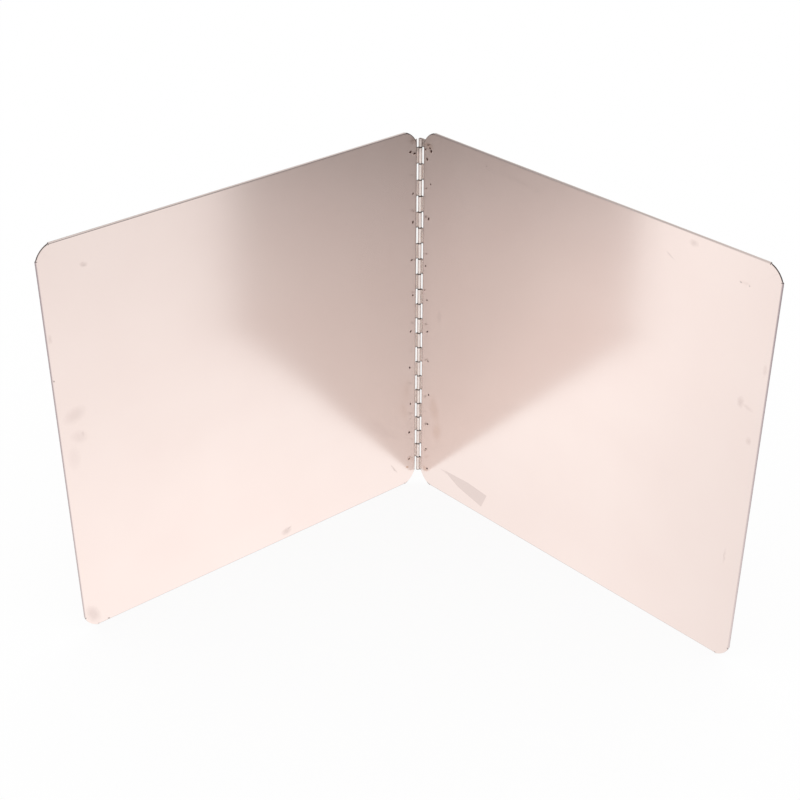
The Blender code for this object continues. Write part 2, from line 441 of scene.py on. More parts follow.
def satin_sheet(name, side, use_and_shade):
    """Satin stainless: vertical rolling grain, faint clouds, hairline scratches, and what cooking left."""
    steel, tree, shader = new_steel(name, 1.0)
    place = flat_coordinates(tree, side)
    parts = add(tree, "ShaderNodeSeparateXYZ", {"Vector": place}).outputs
    across, into, up = parts["X"], parts["Y"], parts["Z"]
    grain = rolled_grain(tree, place, (4000, 60, 60))
    clouded = spread(tree, blotches(tree, place, 14, 3).outputs["Fac"], 0.3, 0.7, 0, 1)

    bright_side = value_step(tree, "GREATER_THAN", into, (sheet_front + sheet_back) / 2)
    film = soiling(tree, place, use_and_shade["smears"])
    for corners, strength in use_and_shade["scuffs"]:
        film = value_step(tree, "MAXIMUM", film, scuff(tree, place, corners, strength))
    film = value_step(tree, "MULTIPLY", film, bright_side)
    bloom = value_step(tree, "MULTIPLY", soiling(tree, place, use_and_shade["rust"]), bright_side)
    baked = value_step(tree, "MULTIPLY", soiling(tree, place, use_and_shade["specks"]), bright_side)
    # Painted shade along the folded outer edge, and a little along the foot.
    edge_shade = painted_edge_shade(tree, across, up)

    # Cut faces take a darker tone as dulled cut steel. The inside of each hem takes it as painted shade.
    cut_and_hem_shade = add(tree, "ShaderNodeAttribute", attribute_name="cut_and_hem_shade").outputs["Fac"]
    cut_and_shade = spread(tree, cut_and_hem_shade, 0.3, 0.7, 0, 0.9)
    # Painted shade along the rounded top corners.
    below_corner = panel_height - corner_setback
    for start, end, strength in (
        ((panel_outer, below_corner), (panel_outer - corner_setback, panel_height), use_and_shade["outer corner shade"]),
        ((panel_inner + corner_setback, panel_height), (panel_inner, below_corner), use_and_shade["inner corner shade"]),
    ):
        cut_and_shade = value_step(tree, "MAXIMUM", cut_and_shade, corner_shade(tree, place, Vector(start), Vector(end), strength))
    # Painted shadow: a thin band along the inner edge beside the hinge, stronger towards the top.
    at_pin = spread(tree, across, panel_inner + 0.0003, panel_inner + 0.0008, 1, 0)
    edge_shadow = spread(tree, up, 0, panel_height, 0.25, use_and_shade["edge shadow"])
    cut_and_shade = value_step(tree, "MAXIMUM", cut_and_shade, value_step(tree, "MULTIPLY", at_pin, edge_shadow))

    tone = blend(tree, clouded, satin_tone, cloud_tone)
    for share, mark_tone in (
        (film, film_tone), (bloom, rust_tone), (baked, baked_tone), (edge_shade, edge_shade_tone), (cut_and_shade, cut_and_shade_tone),
    ):
        tone = blend(tree, share, tone, mark_tone)
    tree.links.new(tone, shader.inputs["Base Color"])

    scratched = None
    for turn, seed in ((0.35, 1.7), (-0.6, 5.1), (1.2, 9.4)):
        turned = add(tree, "ShaderNodeMapping", {
            "Vector": place, "Location": (seed, seed, seed), "Rotation": (0, turn, 0),
            "Scale": (2600, 20, 14),
        })
        lines = blotches(tree, turned.outputs["Vector"], 1.0, 1.0)
        one = spread(tree, lines.outputs["Fac"], 0.70, 0.76, 0, 1)
        scratched = value_step(tree, "MAXIMUM", scratched, one) if scratched else one
    polish = use_and_shade["polish"]
    rough = spread(tree, grain, 0.3, 0.7, polish * 0.98, polish * 1.02)
    shade_and_cut = value_step(tree, "MAXIMUM", edge_shade, cut_and_shade)
    for share, mark_roughness in (
        (clouded, value_step(tree, "MULTIPLY", rough, 1.05)), (scratched, polish * 1.2),
        (film, film_roughness), (baked, baked_roughness), (shade_and_cut, dull_roughness),
    ):
        rough = blend(tree, share, rough, mark_roughness, "FLOAT")
    tree.links.new(rough, shader.inputs["Roughness"])
    brush(tree, shader, 0.8)
    emboss(tree, shader, grain, 0.03, 0.00001)
    return steel


# Marks of use, and painted shade, on the bright sides, in millimetres out from the pin and up from the
# foot. An oval is its place, half its length and width, its turn in degrees and its strength. A scuff
# is its corners and its strength, the polish is a roughness, and the painted corner shade and painted
# edge shadow are strengths alone.
left_use_and_shade = {
    "polish": 0.155,
    "smears": [
        (273.9, 281.0, 2.8, 1.7, 25, 0.30), (303.3, 237.0, 1.6, 3.2, 0, 0.20),
        (293.3, 176.6, 8.0, 5.5, -15, 0.20),
        (291.9, 158.9, 6.5, 4.5, 35, 0.15), (289.1, 160.1, 1.4, 2.4, 0, 0.25),
        (130.7, 6.8, 4.2, 3.2, 0, 0.30),
        (128.3, 8.6, 2.6, 0.9, -20, 0.35), (299.2, 11.0, 8.5, 4.6, 66, 0.30), (24.7, 19.5, 6, 0.8, 58, 0.35),
        (9.0, 52.0, 5, 9, 0, 0.12), (297.5, 144.0, 4.5, 9.0, 0, 0.10),
    ],
    "specks": [
        (8.5, 60.5, 0.5, 0.4, 0, 0.7), (11.5, 57.2, 0.4, 0.4, 0, 0.6), (9.8, 49.8, 0.5, 0.3, 30, 0.7),
        (14.2, 45.6, 0.4, 0.4, 0, 0.5), (22.6, 66.4, 0.4, 0.3, 0, 0.5), (287.8, 1.3, 0.9, 0.6, 0, 0.6),
        (304.6, 206.6, 0.5, 0.8, 0, 0.5),
    ],
    "rust": [(11.2, 15.7, 1.6, 1.1, 20, 0.75), (9.4, 23.0, 2.2, 1.8, 0, 0.25)],
    "scuffs": [],
    "outer corner shade": 0.80,
    "inner corner shade": 0.85,
    "edge shadow": 0.75,
}
right_use_and_shade = {
    "polish": 0.130,
    "smears": [
        (21.5, 158.2, 2.4, 5.5, 0, 0.20), (240.7, 296.1, 3.4, 2.2, 0, 0.16),
        (224.3, 281.8, 4.0, 0.6, -30, 0.14),
        (280.6, 283.2, 4.4, 1.2, 0, 0.10), (288.6, 202.4, 2.4, 4.0, 0, 0.26),
        (294.0, 200.6, 4.4, 1.5, -15, 0.16),
        (298.2, 177.5, 2.0, 2.8, 0, 0.24), (302.5, 231.4, 1.8, 4.0, 0, 0.18),
        (292.5, 82.9, 0.9, 6.0, 0, 0.20),
        (65.0, 292.6, 4.2, 2.6, 0, 0.14), (92.0, 291.4, 24, 2.0, -3, 0.09), (30.3, 21.4, 5.0, 0.6, -8, 0.24),
    ],
    "specks": [
        (64.8, 293.1, 0.5, 0.4, 0, 0.6), (67.0, 290.9, 0.4, 0.4, 0, 0.5), (79.0, 291.8, 0.4, 0.4, 0, 0.5),
        (95.0, 290.6, 0.4, 0.3, 0, 0.5), (112.0, 288.9, 0.5, 0.4, 0, 0.6), (277.4, 282.9, 0.7, 0.5, 0, 0.35),
        (283.7, 282.4, 0.6, 0.5, 0, 0.35), (16.8, 71.0, 0.4, 0.4, 0, 0.6), (21.2, 52.4, 0.4, 0.3, 0, 0.6),
    ],
    "rust": [
        (17.5, 74.0, 5.5, 12, 10, 0.12), (20.5, 55.0, 5.0, 9.0, -10, 0.14), (8.0, 291.4, 5.0, 2.6, 0, 0.20),
        (8.5, 13.5, 3.2, 3.0, 0, 0.22),
    ],
    "scuffs": [([(30.0, 22.6), (34.9, 19.6), (45.5, 14.2), (70.9, 8.2), (76.4, 21.3), (56.0, 23.6)], 0.25)],
    "outer corner shade": 0.95,
    "inner corner shade": 0.35,
    "edge shadow": 0.50,
}

left_panel = make_panel("left_panel_sheet", -1, 3.7)
right_panel = make_panel("right_panel_sheet", 1, 8.2)
left_panel.data.materials.append(satin_sheet("left satin sheet", -1, left_use_and_shade))
right_panel.data.materials.append(satin_sheet("right satin sheet", 1, right_use_and_shade))
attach(left_panel, "left_wing")
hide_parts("left_panel")
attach(right_panel, "right_wing")
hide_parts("right_panel")

# Hinge leaves
# Each leaf is a strip of stainless steel with one edge notched. The tongues left between the
# notches are rolled round the pin into knuckles, and the two leaves take turns along it. The
# length was sawn from long hinge stock, which leaves half a knuckle at the top.
knuckle_pitch = 0.0127
knuckle_gap = 0.0003
strip = 0.0006
strip_bevel = 0.00010
leaf_width = 0.0135
leaf_repeats = 13
notch_edge = 0.00265
notch_corner = 0.0003
notch_steps = 6
curl_inside = 0.000817
barrel = curl_inside + strip
curl_seam = 0.00005
curl_steps = 48
hinge_low = 0.0090
hinge_high = 0.29475
same_place = 0.00001


def rolled(along, radius):
    """Where a point of the strip lies once the tongues are rolled: flat outside the pin, then round it."""
    if along >= 0:
        return along, -radius
    angle = along / (curl_inside + strip / 2) - math.pi / 2
    return radius * math.cos(angle), radius * math.sin(angle)


def leaf_cell():
    """One repeat of a leaf, two knuckles long, with one tongue at its middle, open at both ends."""
    low = knuckle_gap / 2
    high = knuckle_pitch - knuckle_gap / 2
    curl = (1.5 * math.pi + math.asin((curl_inside - curl_seam) / barrel)) * (curl_inside + strip / 2)
    columns = []
    for step in range(notch_steps + 1):
        turn = math.pi / 2 * step / notch_steps
        flare = notch_corner * (1 - math.sin(turn))
        columns.append((notch_edge - notch_corner * (1 - math.cos(turn)), low - flare, high + flare))
    for step in range(curl_steps + 1):
        columns.append((-curl * step / curl_steps, low, high))
    work = bmesh.new()
    unrolled = {}

    def corner(along, radius, level):
        u, y = rolled(along, radius)
        point = work.verts.new((u, y, level))
        unrolled[point] = (along, level)
        return point

    tongue = []
    for along, bottom, top in columns:
        tongue.append([
            corner(along, radius, level) for level in (bottom, top) for radius in (barrel, curl_inside)
        ])
    for near, far in zip(tongue, tongue[1:]):
        for first, second in ((0, 1), (1, 3), (3, 2), (2, 0)):
            work.faces.new((near[first], near[second], far[second], far[first]))
    work.faces.new((tongue[-1][0], tongue[-1][1], tongue[-1][3], tongue[-1][2]))
    levels = []
    for level in (-knuckle_pitch / 2, None, None, knuckle_pitch * 1.5):
        if level is None:
            root = tongue[0][0:2] if len(levels) == 1 else tongue[0][2:4]
            level = root[0].co.z
        else:
            root = [corner(notch_edge, radius, level) for radius in (barrel, curl_inside)]
        levels.append(root + [corner(leaf_width, radius, level) for radius in (curl_inside, barrel)])
    for number, (below, above) in enumerate(zip(levels, levels[1:])):
        for first in (1, 2, 3) if number == 1 else (0, 1, 2, 3):
            second = (first + 1) % 4
            work.faces.new((below[first], below[second], above[second], above[first]))
    return take_off(work, "leaf_cell", unrolled)


def named_tree(name, inputs, result):
    """A node tree with a name on every input, and one shape as its result."""
    tree = bpy.data.node_groups.new(name, "GeometryNodeTree")
    for title, kind in inputs:
        tree.interface.new_socket(title, in_out="INPUT", socket_type="NodeSocket" + kind)
    tree.interface.new_socket(result, in_out="OUTPUT", socket_type="NodeSocketGeometry")
    return tree


def give(modifier, values):
    """Set a node tree's named inputs on the piece that uses it."""
    for item in modifier.node_group.interface.items_tree:
        if item.item_type == "SOCKET" and item.in_out == "INPUT" and item.name in values:
            modifier[item.identifier] = values[item.name]


def stacking_tree():
    """Set one repeat of the leaf over another along the pin and weld them into one strip."""
    tree = named_tree("leaf stock", (
        ("Repeat", "Geometry"), ("Repeats", "Int"), ("Repeat length", "Float"), ("First level", "Float"),
        ("Steel", "Material"),
    ), "Leaf")
    given = add(tree, "NodeGroupInput").outputs
    line = add(tree, "GeometryNodeMeshLine", {
        "Count": given["Repeats"],
        "Start Location": add(tree, "ShaderNodeCombineXYZ", {"Z": given["First level"]}).outputs["Vector"],
        "Offset": add(tree, "ShaderNodeCombineXYZ", {"Z": given["Repeat length"]}).outputs["Vector"],
    })
    stack = add(tree, "GeometryNodeInstanceOnPoints", {
        "Points": line.outputs["Mesh"], "Instance": given["Repeat"],
    })
    real = add(tree, "GeometryNodeRealizeInstances", {"Geometry": stack.outputs["Instances"]})
    weld = add(tree, "GeometryNodeMergeByDistance", {
        "Geometry": real.outputs["Geometry"], "Distance": same_place,
    })
    steel = add(tree, "GeometryNodeSetMaterial", {
        "Geometry": weld.outputs["Geometry"], "Material": given["Steel"],
    })
    add(tree, "NodeGroupOutput", {"Leaf": steel.outputs["Geometry"]})
    return tree


leaf_stock = stacking_tree()


def saw(work, level, way):
    """Saw the stock off square at a level, and close the cut."""
    everything = work.verts[:] + work.edges[:] + work.faces[:]
    bmesh.ops.bisect_plane(
        work, geom=everything, plane_co=(0, 0, level), plane_no=(0, 0, way), clear_outer=True)
    cut = [edge for edge in work.edges if edge.is_boundary and abs(edge.verts[0].co.z - level) < same_place]
    bmesh.ops.holes_fill(work, edges=cut, sides=0)


def make_leaf(name, side, first_level, steel):
    """Stack up hinge stock, saw a length off it, and stand it behind its panel."""
    leaf = leaf_cell()
    leaf.name = name
    stack = leaf.modifiers.new("leaf stock", "NODES")
    stack.node_group = leaf_stock
    give(stack, {
        "Repeats": leaf_repeats, "Repeat length": 2 * knuckle_pitch, "First level": first_level,
        "Steel": steel,
    })
    settle(leaf)
    work = bmesh.new()
    work.from_mesh(leaf.data)
    saw(work, hinge_low, -1)
    saw(work, hinge_high, 1)
    stand_up(work, side)
    bmesh.ops.recalc_face_normals(work, faces=work.faces)
    work.to_mesh(leaf.data)
    work.free()
    ease_edges(leaf, strip_bevel)
    return leaf


strip_tone = (1.0, 0.89, 0.835, 1)
streak_tone = (0.94, 0.825, 0.77, 1)
top_dark_tone = (0.32, 0.26, 0.24, 1)
joint_dark_tone = (0.10, 0.07, 0.06, 1)


def hinge_steel(name, side):
    """Strip steel: a coarser grain than the sheet's, a little rougher round the curl, darker where knuckles
    meet near the pin and towards the top.
    """
    steel, tree, shader = new_steel(name, 0.72)
    place = flat_coordinates(tree, side)
    grain = rolled_grain(tree, place, (5000, 5000, 120))
    parts = add(tree, "ShaderNodeSeparateXYZ", {"Vector": place}).outputs
    out = value_step(tree, "ABSOLUTE", parts["X"])
    level = value_step(tree, "SUBTRACT", parts["Z"], hinge_low)
    to_joint = value_step(tree, "PINGPONG", level, knuckle_pitch / 2)
    waver = blotches(tree, place, 900, 3).outputs["Fac"]
    ragged = value_step(tree, "MULTIPLY_ADD", waver, 0.0008, to_joint)
    close = spread(tree, ragged, 0.0006, 0.0012, 1, 0)
    near_pin = spread(tree, out, 0.0020, 0.0032, 1, 0)
    # Darker, and a little rougher, towards the knuckle joints near the pin.
    joint_darkening = value_step(tree, "MULTIPLY", close, near_pin)
    tone = blend(tree, spread(tree, grain, 0.35, 0.65, 0, 1), strip_tone, streak_tone)
    # Darker towards the top of the strip.
    top_darkening = spread(tree, parts["Z"], hinge_high - 0.012, hinge_high - 0.003, 0, 0.40)
    tone = blend(tree, top_darkening, tone, top_dark_tone)
    tone = blend(tree, joint_darkening, tone, joint_dark_tone)
    tree.links.new(tone, shader.inputs["Base Color"])
    curled = spread(tree, out, 0.0014, 0.0015, 0.06, 0)
    fine = value_step(tree, "ADD", spread(tree, grain, 0.3, 0.7, 0.20, 0.28), curled)
    tree.links.new(value_step(tree, "MULTIPLY_ADD", joint_darkening, 0.25, fine), shader.inputs["Roughness"])
    brush(tree, shader, 0.5)
    emboss(tree, shader, grain, 0.3, 0.00002)
    return steel


left_leaf = make_leaf("left_knuckle_leaf", -1, hinge_low - knuckle_pitch, hinge_steel("left hinge strip", -1))
right_leaf = make_leaf("right_knuckle_leaf", 1, hinge_low, hinge_steel("right hinge strip", 1))
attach(left_leaf, "left_wing")
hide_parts("left_hinge_leaf")
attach(right_leaf, "right_wing")
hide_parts("right_hinge_leaf")

# Hinge pin
# One length of drawn wire through all the knuckles, with its ends rounded over by the hammer
# and sitting a little inside the end knuckles.
pin_radius = 0.00075
pin_inset = 0.0004
pin_sides = 32
pin_dome = 0.0003
pin_dome_steps = 5
pin_tip = 0.00004


def make_pin():
    """Ring on ring from one domed end of the wire to the other."""
    bottom, top = hinge_low + pin_inset, hinge_high - pin_inset
    profile = []
    for step in range(pin_dome_steps):
        turn = math.pi / 2 * step / pin_dome_steps
        profile.append((pin_dome * (1 - math.cos(turn)), pin_radius - pin_dome * (1 - math.sin(turn))))
    profile.append((pin_dome, pin_radius))
    levels = [(bottom + rise, radius) for rise, radius in profile]
    levels += [(top - rise, radius) for rise, radius in reversed(profile)]
    work = bmesh.new()
    rings = []
    for level, radius in levels:
        ring = []
        for step in range(pin_sides):
            turn = 2 * math.pi * step / pin_sides
            ring.append(work.verts.new((radius * math.cos(turn), radius * math.sin(turn), level)))
        rings.append(ring)
    for low, high in zip(rings, rings[1:]):
        for step in range(pin_sides):
            after = (step + 1) % pin_sides
            work.faces.new((low[step], low[after], high[after], high[step]))
    for ring, level in ((rings[0], bottom - pin_tip), (rings[-1], top + pin_tip)):
        tip = work.verts.new((0, 0, level))
        for step in range(pin_sides):
            work.faces.new((ring[step], ring[(step + 1) % pin_sides], tip))
    stand_up(work, 1)
    return take_off(work, "drawn_wire_pin")


# Painted shade: the wire's tone is darkened for its shadowed end.
shaded_wire_tone = (0.22, 0.15, 0.13, 1)
die_line_tone = (0.12, 0.08, 0.07, 1)
freckle_tone = (0.12, 0.07, 0.05, 1)


def drawn_wire():
    """Wire steel, its tone darkened as painted shade for the end seen in shadow inside the top knuckle: die
    lines along its length, and rust freckles.
    """
    steel, tree, shader = new_steel("drawn wire", 1.0)
    place = flat_coordinates(tree, 1)
    die_lines = rolled_grain(tree, place, (9000, 9000, 90))
    freckles = blotches(tree, place, 2600, 3).outputs["Fac"]
    tone = blend(tree, spread(tree, die_lines, 0.35, 0.65, 0, 1), shaded_wire_tone, die_line_tone)
    rusty = spread(tree, freckles, 0.58, 0.66, 0, 0.8)
    tree.links.new(blend(tree, rusty, tone, freckle_tone), shader.inputs["Base Color"])
    tree.links.new(spread(tree, die_lines, 0.3, 0.7, 0.32, 0.5), shader.inputs["Roughness"])
    emboss(tree, shader, freckles, 0.4, 0.00002)
    return steel


pin = make_pin()
pin.data.materials.append(drawn_wire())
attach(pin, "right_wing")
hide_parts("hinge_pin")

# Spot welds
# The leaf is spot welded to the back of its panel every 30 mm or so. Each weld left a small
# burnt crater on the panel's bright side, ragged and a little different every time, and a
# round dent where the electrode pressed on the back of the leaf.

# A weld is its place out from the pin and up from the foot, in millimetres, and its strength.
left_welds = [
    (9.2, 286.0, 0.9), (5.5, 283.9, 1.1), (6.8, 253.0, 1.0), (6.7, 230.4, 0.9), (7.6, 199.6, 0.8),
    (6.3, 169.7, 0.8), (8.2, 139.3, 0.8), (9.0, 107.2, 0.9), (8.2, 73.9, 0.8), (9.1, 47.5, 0.8),
    (9.3, 22.1, 0.8),
]
right_welds = [
    (9.8, 289.3, 0.7), (10.9, 287.3, 1.0), (6.9, 280.3, 1.0), (10.8, 262.0, 0.6), (9.1, 234.1, 1.0),
    (6.6, 194.8, 0.9), (8.4, 166.6, 0.8), (9.1, 139.8, 0.8), (10.1, 113.9, 0.8), (11.3, 84.1, 0.8),
    (10.3, 56.6, 0.8), (9.1, 32.5, 0.8), (10.5, 14.0, 0.8),
]
weld_lift = 0.0006
weld_bite = 0.00001
crater = {"Radius": 0.0013, "Height": 0.00009, "Stretch": 1.25, "Raggedness": 0.0012, "Tilt": -math.pi / 2}
dent = {"Radius": 0.0019, "Height": 0.00004, "Stretch": 1.0, "Raggedness": 0.0002, "Tilt": math.pi / 2}


def scaled(tree, vector, scale):
    """A direction made longer or shorter."""
    return add(tree, "ShaderNodeVectorMath", {0: vector, "Scale": scale}, operation="SCALE").outputs["Vector"]


def marking_tree():
    """Set one small round mark on every point, each with its own turn, stretch and ragged outline."""
    tree = named_tree("weld marks", (
        ("Places", "Geometry"), ("Radius", "Float"), ("Height", "Float"), ("Stretch", "Float"),
        ("Raggedness", "Float"), ("Tilt", "Float"), ("Seed", "Int"), ("Finish", "Material"),
    ), "Marks")
    given = add(tree, "NodeGroupInput").outputs

    def together(x, y, z):
        return add(tree, "ShaderNodeCombineXYZ", {"X": x, "Y": y, "Z": z}).outputs["Vector"]

    def chance(kind, low, high, offset):
        seed = value_step(tree, "ADD", given["Seed"], offset)
        first, result = (0, 0) if kind == "FLOAT_VECTOR" else (2, 1)
        limits = {first: low, first + 1: high, "Seed": seed}
        return add(tree, "FunctionNodeRandomValue", limits, data_type=kind).outputs[result]

    dome = add(tree, "GeometryNodeMeshCone", {
        "Vertices": 20, "Side Segments": 7, "Radius Top": 0, "Radius Bottom": 1, "Depth": 1,
    })
    where = add(tree, "GeometryNodeInputPosition").outputs["Position"]
    flat = vector_step(tree, "MULTIPLY", where, (1, 1, 0))
    reach = vector_step(tree, "LENGTH", flat)
    profile = add(tree, "ShaderNodeFloatCurve", {"Value": reach})
    points = profile.mapping.curves[0].points
    points[0].location = (0, 0.45)
    points[1].location = (1, 0)
    for at, height in ((0.25, 0.35), (0.50, 1.0), (0.72, 0.45)):
        points.new(at, height)
    profile.mapping.update()
    pressed = together(0, 0, profile.outputs["Value"])
    shaped = add(tree, "GeometryNodeSetPosition", {
        "Geometry": dome.outputs["Mesh"], "Position": vector_step(tree, "ADD", flat, pressed),
    })
    kept = add(tree, "GeometryNodeStoreNamedAttribute", {
        "Geometry": shaped.outputs["Geometry"], "Name": "from_centre", "Value": reach,
    }, data_type="FLOAT")

    longer = together(given["Stretch"], 1, 1)
    uneven = chance("FLOAT_VECTOR", (0.75, 0.7, 0.8), (1.25, 1.1, 1.1), 2)
    own = vector_step(tree, "MULTIPLY", longer, uneven)
    strength = add(tree, "GeometryNodeInputNamedAttribute", {"Name": "strength"}, data_type="FLOAT")
    sized = scaled(tree, own, strength.outputs["Attribute"])
    measure = together(given["Radius"], given["Radius"], given["Height"])
    set_out = add(tree, "GeometryNodeInstanceOnPoints", {
        "Points": given["Places"], "Instance": kept.outputs["Geometry"],
        "Rotation": together(given["Tilt"], chance("FLOAT", 0.0, 6.28, 1), 0),
        "Scale": vector_step(tree, "MULTIPLY", sized, measure),
    })
    real = add(tree, "GeometryNodeRealizeInstances", {"Geometry": set_out.outputs["Instances"]})

    spatter = add(tree, "ShaderNodeTexNoise", {"Scale": 900, "Detail": 2}).outputs["Color"]
    centred = vector_step(tree, "SUBTRACT", spatter, (0.5, 0.5, 0.5))
    along = vector_step(tree, "MULTIPLY", centred, (1, 0, 1))
    torn = add(tree, "GeometryNodeSetPosition", {
        "Geometry": real.outputs["Geometry"], "Offset": scaled(tree, along, given["Raggedness"]),
    })
    finish = add(tree, "GeometryNodeSetMaterial", {
        "Geometry": torn.outputs["Geometry"], "Material": given["Finish"],
    })
    add(tree, "NodeGroupOutput", {"Marks": finish.outputs["Geometry"]})
    return tree


weld_marks = marking_tree()


def make_marks(name, side, welds, depth, values):
    """Mark every weld on one face of a wing; depth is that face's place into the fold."""
    work = bmesh.new()
    strength = work.verts.layers.float.new("strength")
    for u, z, share in welds:
        point = work.verts.new((u / 1000, depth, z / 1000 + weld_lift))
        point[strength] = share
    marks = take_off(work, name)
    marking = marks.modifiers.new("weld marks", "NODES")
    marking.node_group = weld_marks
    give(marking, values)
    settle(marks)
    work = bmesh.new()
    work.from_mesh(marks.data)
    bmesh.ops.remove_doubles(work, verts=work.verts, dist=0.0000001)
    unrolled = {point: (point.co.x, point.co.z) for point in work.verts}
    stand_up(work, side)
    finished = take_off(work, name, unrolled)
    finished.data.materials.append(values["Finish"])
    bpy.data.objects.remove(marks)
    finished.name = name
    return finished


scorch_tone = (0.045, 0.022, 0.020, 1)
heat_tint_tone = (0.20, 0.11, 0.085, 1)
scorch_roughness = 0.55


def burnt_steel(name, side, use_and_shade):
    """Scorched scale in the crater, brown heat tint round it, running out into the clean sheet."""
    steel = satin_sheet(name, side, use_and_shade)
    tree = steel.node_tree
    shader = tree.nodes["Principled BSDF"]
    clean = shader.inputs["Base Color"].links[0].from_socket
    smooth = shader.inputs["Roughness"].links[0].from_socket
    scale = blotches(tree, flat_coordinates(tree, side), 2200, 4).outputs["Fac"]
    centre = add(tree, "ShaderNodeAttribute", attribute_name="from_centre").outputs["Fac"]
    ragged = value_step(tree, "MULTIPLY_ADD", scale, 0.5, centre)
    scorch = blend(tree, spread(tree, ragged, 0.45, 0.85, 0, 1), scorch_tone, heat_tint_tone)
    fade = spread(tree, ragged, 0.80, 1.20, 0, 1)
    tree.links.new(blend(tree, fade, scorch, clean), shader.inputs["Base Color"])
    tree.links.new(blend(tree, fade, scorch_roughness, smooth, "FLOAT"), shader.inputs["Roughness"])
    emboss(tree, shader, scale, value_step(tree, "SUBTRACT", 1.0, fade), 0.00003)
    return steel


left_scorch = burnt_steel("left scorched sheet", -1, left_use_and_shade)
right_scorch = burnt_steel("right scorched sheet", 1, right_use_and_shade)
bright_face = sheet_front - weld_bite
leaf_face = weld_bite - barrel
for name, side, welds, depth, mark, seed, finish, body, slot in (
    ("left_weld_craters", -1, left_welds, bright_face, crater, 4, left_scorch, "left_wing", "left_panel"),
    ("right_weld_craters", 1, right_welds, bright_face, crater, 9, right_scorch, "right_wing", "right_panel"),
    ("left_electrode_dents", -1, left_welds, leaf_face, dent, 2, left_scorch, "left_wing", "left_hinge_leaf"),
    (
        "right_electrode_dents", 1, right_welds, leaf_face, dent, 6, right_scorch,
        "right_wing", "right_hinge_leaf",
    ),
):
    marks = make_marks(name, side, welds, depth, {**mark, "Seed": seed, "Finish": finish})
    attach(marks, body)

# Studio
# The screen stands on a white sweep in a white surrounding, and no lamp is lit. Its steel mirrors
# a darker room, in tones by direction, with tones of their own for what is seen twice over in
# the fold between the wings, and for what is seen three times or more.
floor_mesh = bpy.data.meshes.new("white_floor")
floor_work = bmesh.new()
bmesh.ops.create_grid(floor_work, x_segments=1, y_segments=1, size=5)
floor_work.to_mesh(floor_mesh)
floor_work.free()
floor = bpy.data.objects.new("white_floor", floor_mesh)
floor.location = (0, 0, -0.0002)
bpy.context.scene.collection.objects.link(floor)
paper = bpy.data.materials.new("white paper")
paper.use_nodes = True
sweep = paper.node_tree
sweep.nodes.clear()
lit = add(sweep, "ShaderNodeBsdfDiffuse", {"Color": (1, 1, 1, 1)}).outputs["BSDF"]
white = add(sweep, "ShaderNodeEmission", {"Color": (1, 1, 1, 1), "Strength": 1}).outputs["Emission"]
overlit = add(sweep, "ShaderNodeMixShader", {"Fac": 0.9, 1: lit, 2: white}).outputs["Shader"]
to_camera = add(sweep, "ShaderNodeLightPath").outputs["Is Camera Ray"]
seen = add(sweep, "ShaderNodeMixShader", {"Fac": to_camera, 1: lit, 2: overlit}).outputs["Shader"]
add(sweep, "ShaderNodeOutputMaterial", {"Surface": seen})
floor.data.materials.append(paper)
floor.visible_glossy = False

studio = bpy.data.worlds.new("studio")
bpy.context.scene.world = studio
studio.use_nodes = True
studio.cycles.sampling_method = "NONE"
room = studio.node_tree
room.nodes.clear()
ray = add(room, "ShaderNodeLightPath").outputs
every_way = add(room, "ShaderNodeTexCoord").outputs["Generated"]
way = add(room, "ShaderNodeSeparateXYZ", {"Vector": every_way}).outputs
steepness = value_step(room, "MULTIPLY_ADD", way["Z"], 0.5, 0.5)
bearing = value_step(room, "ARCTAN2", way["X"], value_step(room, "MULTIPLY", way["Y"], -1))
heading = value_step(room, "MULTIPLY_ADD", bearing, 0.5 / math.pi, 0.5)


def tone_ramp(where, stops):
    """The room's tone along one ramp: each stop is a place from 0 to 1, and a grey or a colour."""
    ramp = add(room, "ShaderNodeValToRGB", {"Fac": where})
    elements = ramp.color_ramp.elements
    while len(elements) > 1:
        elements.remove(elements[0])
    for number, (at, tone) in enumerate(stops):
        element = elements[0] if number == 0 else elements.new(at)
        element.position = at
        element.color = (*tone, 1) if isinstance(tone, tuple) else (tone, tone, tone, 1)
    return ramp.outputs["Color"]


def by_height(*stops):
    """Tones from the floor to the ceiling, by degrees above level."""
    return tone_ramp(steepness, [((math.sin(math.radians(rise)) + 1) / 2, tone) for rise, tone in stops])


def by_heading(*stops):
    """Tones round the room, by degrees to the right of straight ahead of the fold."""
    return tone_ramp(heading, [(turn / 360 + 0.5, tone) for turn, tone in stops])


def shade(first, second):
    """One tone shaded by the other."""
    return vector_step(room, "MULTIPLY", first, second)


left_of_fold = by_height(
    (-38, 1.07), (-35, 1.05), (-32, 0.99), (-28, 0.945), (-26.5, 0.92), (-22, 0.86), (-12, 0.45),
    (5, (0.14, 0.13, 0.14)), (20, (0.45, 0.45, 0.46)), (40, 0.95),
)
right_of_fold = by_height(
    (-39, 0.93), (-36, 0.925), (-33, 0.95), (-31, 0.98), (-29, 1.01), (-25.4, 1.03), (-22, 0.97), (-12, 0.45),
    (5, (0.12, 0.11, 0.12)), (20, (0.45, 0.45, 0.46)), (40, 0.95),
)
open_end = by_height(
    (-39, 0.95), (-33, 0.95), (-29, 0.98), (-22, 0.97), (-12, 0.90), (5, (0.80, 0.79, 0.80)), (20, 0.85),
    (40, 0.95),
)
to_open_end = by_heading(
    (-180, 0), (-85, 0), (-80, 0.35), (-76, 0.85), (-72, 1), (-60, 1), (-40, 0), (180, 0),
)
to_left = by_heading((-180, 0), (-20, 0), (20, 1), (180, 1))
right_side = blend(room, to_open_end, right_of_fold, open_end)
